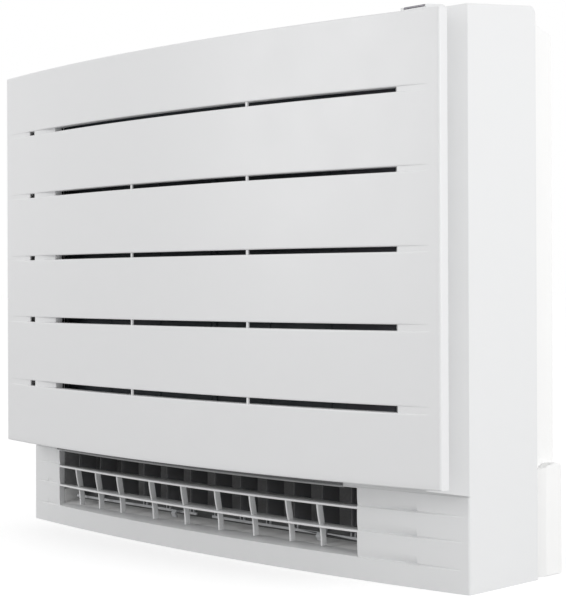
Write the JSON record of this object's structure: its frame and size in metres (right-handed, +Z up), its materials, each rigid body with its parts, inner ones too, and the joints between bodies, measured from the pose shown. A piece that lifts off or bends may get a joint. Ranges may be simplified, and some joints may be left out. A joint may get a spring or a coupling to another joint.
{
  "type": "floor standing air conditioner",
  "caption": "Slim floor standing air conditioner: bowed slotted front panel, louvred outlet at the foot, flap over a second outlet on top, coil and turbo fan inside.",
  "frame": {"origin": "on the floor, under the middle of the unit's bounding box", "axes": "+X to the right of someone facing the front, +Y to the wall behind, +Z up"},
  "size_m": [0.75, 0.238, 0.6],
  "materials": {
    "casing": "white moulded plastic with a slight sheen",
    "louvre": "white moulded plastic with a slight sheen",
    "frame": "off-white plain moulded plastic",
    "steel": "plain zinc coated sheet steel",
    "fins": "thin upright fins",
    "copper": "bare drawn copper tube",
    "brass": "turned and milled",
    "foam": "white expanded foam",
    "dark": "dark grey moulded plastic",
    "filter": "fine net in a moulded frame",
    "carbon": "black honeycomb in a frame",
    "fan": "grey moulded plastic",
    "bright": "bright zinc plated steel",
    "vane": "light grey moulded plastic",
    "window": "smoked see-through plastic",
    "button": "white moulded plastic",
    "board": "green laminate with components"
  },
  "bodies": {
    "cabinet": {"front_casing": "casing", "lower_outlet_grille": "casing", "receiver_pod": "casing", "rear_frame": "frame", "piping_cover_left": "frame", "piping_cover_right": "frame", "bell_mouth": "frame", "wall_bracket": "steel", "control_box": "steel", "control_box_lid": "steel", "fan_motor": "steel", "tube_plate_left": "steel", "tube_plate_right": "steel", "heat_exchanger": "fins", "gas_pipe": "copper", "liquid_pipe": "copper", "gas_flare_nut": "brass", "liquid_flare_nut": "brass", "drain_pan": "foam", "drain_nipple": "dark", "flap_motor": "dark", "damper_motor": "dark", "terminal_block": "dark", "air_filter_left": "filter", "air_filter_right": "filter", "deodorising_filter": "carbon", "casing_screw_left": "bright", "casing_screw_right": "bright", "receiver_window": "window", "control_board": "board"},
    "panel": {"front_panel": "casing"},
    "flap": {"upper_flap": "louvre"},
    "damper": {"lower_damper": "dark"},
    "fan": {"turbo_fan": "fan", "motor_shaft": "bright"},
    "button": {"on_off_button": "button"},
    "upper_tie_left": {"upper_tie_bar_left": "dark"},
    "upper_vane_1": {"upper_vane_1": "dark"},
    "upper_vane_2": {"upper_vane_2": "dark"},
    "upper_vane_3": {"upper_vane_3": "dark"},
    "upper_vane_4": {"upper_vane_4": "dark"},
    "upper_tie_right": {"upper_tie_bar_right": "dark"},
    "upper_vane_5": {"upper_vane_5": "dark"},
    "upper_vane_6": {"upper_vane_6": "dark"},
    "upper_vane_7": {"upper_vane_7": "dark"},
    "upper_vane_8": {"upper_vane_8": "dark"},
    "lower_tie_left": {"lower_tie_bar_left": "vane"},
    "lower_vane_1": {"lower_vane_1": "dark"},
    "lower_vane_2": {"lower_vane_2": "dark"},
    "lower_vane_3": {"lower_vane_3": "dark"},
    "lower_vane_4": {"lower_vane_4": "dark"},
    "lower_vane_5": {"lower_vane_5": "dark"},
    "lower_vane_6": {"lower_vane_6": "dark"},
    "lower_tie_right": {"lower_tie_bar_right": "vane"},
    "lower_vane_7": {"lower_vane_7": "dark"},
    "lower_vane_8": {"lower_vane_8": "dark"},
    "lower_vane_9": {"lower_vane_9": "dark"},
    "lower_vane_10": {"lower_vane_10": "dark"},
    "lower_vane_11": {"lower_vane_11": "dark"},
    "lower_vane_12": {"lower_vane_12": "dark"}
  },
  "joints": [
    {"name": "panel_tilt", "type": "hinge", "parent": "cabinet", "child": "panel", "pos_m": [0, -0.078, 0.114], "axis": [1, 0, 0], "range_deg": [0, 50]},
    {"name": "flap_lift", "type": "hinge", "parent": "cabinet", "child": "flap", "pos_m": [0, 0.035, 0.5943], "axis": [-1, 0, 0], "range_deg": [0, 70]},
    {"name": "damper_swing", "type": "hinge", "parent": "cabinet", "child": "damper", "pos_m": [0, -0.002, 0.152], "axis": [1, 0, 0], "range_deg": [0, 85]},
    {"name": "fan_spin", "type": "hinge", "parent": "cabinet", "child": "fan", "pos_m": [-0.0365, 0, 0.345], "axis": [0, 1, 0], "continuous": true},
    {"name": "button_press", "type": "slide", "parent": "cabinet", "child": "button", "axis": [0, 0, -1], "range_m": [0, 0.0015], "stiffness_N_per_m": 400, "springref_m": -0.001},
    {"name": "upper_shift_left", "type": "slide", "parent": "cabinet", "child": "upper_tie_left", "axis": [1, 0, 0], "range_m": [-0.00981, 0.00981]},
    {"name": "upper_turn_1", "type": "hinge", "parent": "cabinet", "child": "upper_vane_1", "pos_m": [-0.2675, 0.014, 0.55], "axis": [0, 0, 1], "range_deg": [-30.5, 30.5]},
    {"name": "upper_turn_2", "type": "hinge", "parent": "cabinet", "child": "upper_vane_2", "pos_m": [-0.2015, 0.014, 0.55], "axis": [0, 0, 1], "range_deg": [-30.5, 30.5]},
    {"name": "upper_turn_3", "type": "hinge", "parent": "cabinet", "child": "upper_vane_3", "pos_m": [-0.1355, 0.014, 0.55], "axis": [0, 0, 1], "range_deg": [-30.5, 30.5]},
    {"name": "upper_turn_4", "type": "hinge", "parent": "cabinet", "child": "upper_vane_4", "pos_m": [-0.0695, 0.014, 0.55], "axis": [0, 0, 1], "range_deg": [-30.5, 30.5]},
    {"name": "upper_shift_right", "type": "slide", "parent": "cabinet", "child": "upper_tie_right", "axis": [1, 0, 0], "range_m": [-0.00981, 0.00981]},
    {"name": "upper_turn_5", "type": "hinge", "parent": "cabinet", "child": "upper_vane_5", "pos_m": [-0.0035, 0.014, 0.55], "axis": [0, 0, 1], "range_deg": [-30.5, 30.5]},
    {"name": "upper_turn_6", "type": "hinge", "parent": "cabinet", "child": "upper_vane_6", "pos_m": [0.0625, 0.014, 0.55], "axis": [0, 0, 1], "range_deg": [-30.5, 30.5]},
    {"name": "upper_turn_7", "type": "hinge", "parent": "cabinet", "child": "upper_vane_7", "pos_m": [0.1285, 0.014, 0.55], "axis": [0, 0, 1], "range_deg": [-30.5, 30.5]},
    {"name": "upper_turn_8", "type": "hinge", "parent": "cabinet", "child": "upper_vane_8", "pos_m": [0.1945, 0.014, 0.55], "axis": [0, 0, 1], "range_deg": [-30.5, 30.5]},
    {"name": "lower_shift_left", "type": "slide", "parent": "cabinet", "child": "lower_tie_left", "axis": [1, 0, 0], "range_m": [-0.00866, 0.00866]},
    {"name": "lower_turn_1", "type": "hinge", "parent": "cabinet", "child": "lower_vane_1", "pos_m": [-0.28125, -0.02, 0.06], "axis": [0, 0, 1], "range_deg": [-30.5, 30.5]},
    {"name": "lower_turn_2", "type": "hinge", "parent": "cabinet", "child": "lower_vane_2", "pos_m": [-0.23675, -0.02, 0.06], "axis": [0, 0, 1], "range_deg": [-30.5, 30.5]},
    {"name": "lower_turn_3", "type": "hinge", "parent": "cabinet", "child": "lower_vane_3", "pos_m": [-0.19225, -0.02, 0.06], "axis": [0, 0, 1], "range_deg": [-30.5, 30.5]},
    {"name": "lower_turn_4", "type": "hinge", "parent": "cabinet", "child": "lower_vane_4", "pos_m": [-0.14775, -0.02, 0.06], "axis": [0, 0, 1], "range_deg": [-30.5, 30.5]},
    {"name": "lower_turn_5", "type": "hinge", "parent": "cabinet", "child": "lower_vane_5", "pos_m": [-0.10325, -0.02, 0.06], "axis": [0, 0, 1], "range_deg": [-30.5, 30.5]},
    {"name": "lower_turn_6", "type": "hinge", "parent": "cabinet", "child": "lower_vane_6", "pos_m": [-0.05875, -0.02, 0.06], "axis": [0, 0, 1], "range_deg": [-30.5, 30.5]},
    {"name": "lower_shift_right", "type": "slide", "parent": "cabinet", "child": "lower_tie_right", "axis": [1, 0, 0], "range_m": [-0.00866, 0.00866]},
    {"name": "lower_turn_7", "type": "hinge", "parent": "cabinet", "child": "lower_vane_7", "pos_m": [-0.01425, -0.02, 0.06], "axis": [0, 0, 1], "range_deg": [-30.5, 30.5]},
    {"name": "lower_turn_8", "type": "hinge", "parent": "cabinet", "child": "lower_vane_8", "pos_m": [0.03025, -0.02, 0.06], "axis": [0, 0, 1], "range_deg": [-30.5, 30.5]},
    {"name": "lower_turn_9", "type": "hinge", "parent": "cabinet", "child": "lower_vane_9", "pos_m": [0.07475, -0.02, 0.06], "axis": [0, 0, 1], "range_deg": [-30.5, 30.5]},
    {"name": "lower_turn_10", "type": "hinge", "parent": "cabinet", "child": "lower_vane_10", "pos_m": [0.11925, -0.02, 0.06], "axis": [0, 0, 1], "range_deg": [-30.5, 30.5]},
    {"name": "lower_turn_11", "type": "hinge", "parent": "cabinet", "child": "lower_vane_11", "pos_m": [0.16375, -0.02, 0.06], "axis": [0, 0, 1], "range_deg": [-30.5, 30.5]},
    {"name": "lower_turn_12", "type": "hinge", "parent": "cabinet", "child": "lower_vane_12", "pos_m": [0.20825, -0.02, 0.06], "axis": [0, 0, 1], "range_deg": [-30.5, 30.5]}
  ],
  "couplings": [
    {"joint": "upper_turn_1", "follows": "upper_shift_left", "rad_per_m": -53.347},
    {"joint": "upper_turn_2", "follows": "upper_shift_left", "rad_per_m": -53.347},
    {"joint": "upper_turn_3", "follows": "upper_shift_left", "rad_per_m": -53.347},
    {"joint": "upper_turn_4", "follows": "upper_shift_left", "rad_per_m": -53.347},
    {"joint": "upper_turn_5", "follows": "upper_shift_right", "rad_per_m": -53.347},
    {"joint": "upper_turn_6", "follows": "upper_shift_right", "rad_per_m": -53.347},
    {"joint": "upper_turn_7", "follows": "upper_shift_right", "rad_per_m": -53.347},
    {"joint": "upper_turn_8", "follows": "upper_shift_right", "rad_per_m": -53.347},
    {"joint": "lower_turn_1", "follows": "lower_shift_left", "rad_per_m": 60.46},
    {"joint": "lower_turn_2", "follows": "lower_shift_left", "rad_per_m": 60.46},
    {"joint": "lower_turn_3", "follows": "lower_shift_left", "rad_per_m": 60.46},
    {"joint": "lower_turn_4", "follows": "lower_shift_left", "rad_per_m": 60.46},
    {"joint": "lower_turn_5", "follows": "lower_shift_left", "rad_per_m": 60.46},
    {"joint": "lower_turn_6", "follows": "lower_shift_left", "rad_per_m": 60.46},
    {"joint": "lower_turn_7", "follows": "lower_shift_right", "rad_per_m": 60.46},
    {"joint": "lower_turn_8", "follows": "lower_shift_right", "rad_per_m": 60.46},
    {"joint": "lower_turn_9", "follows": "lower_shift_right", "rad_per_m": 60.46},
    {"joint": "lower_turn_10", "follows": "lower_shift_right", "rad_per_m": 60.46},
    {"joint": "lower_turn_11", "follows": "lower_shift_right", "rad_per_m": 60.46},
    {"joint": "lower_turn_12", "follows": "lower_shift_right", "rad_per_m": 60.46}
  ]
}
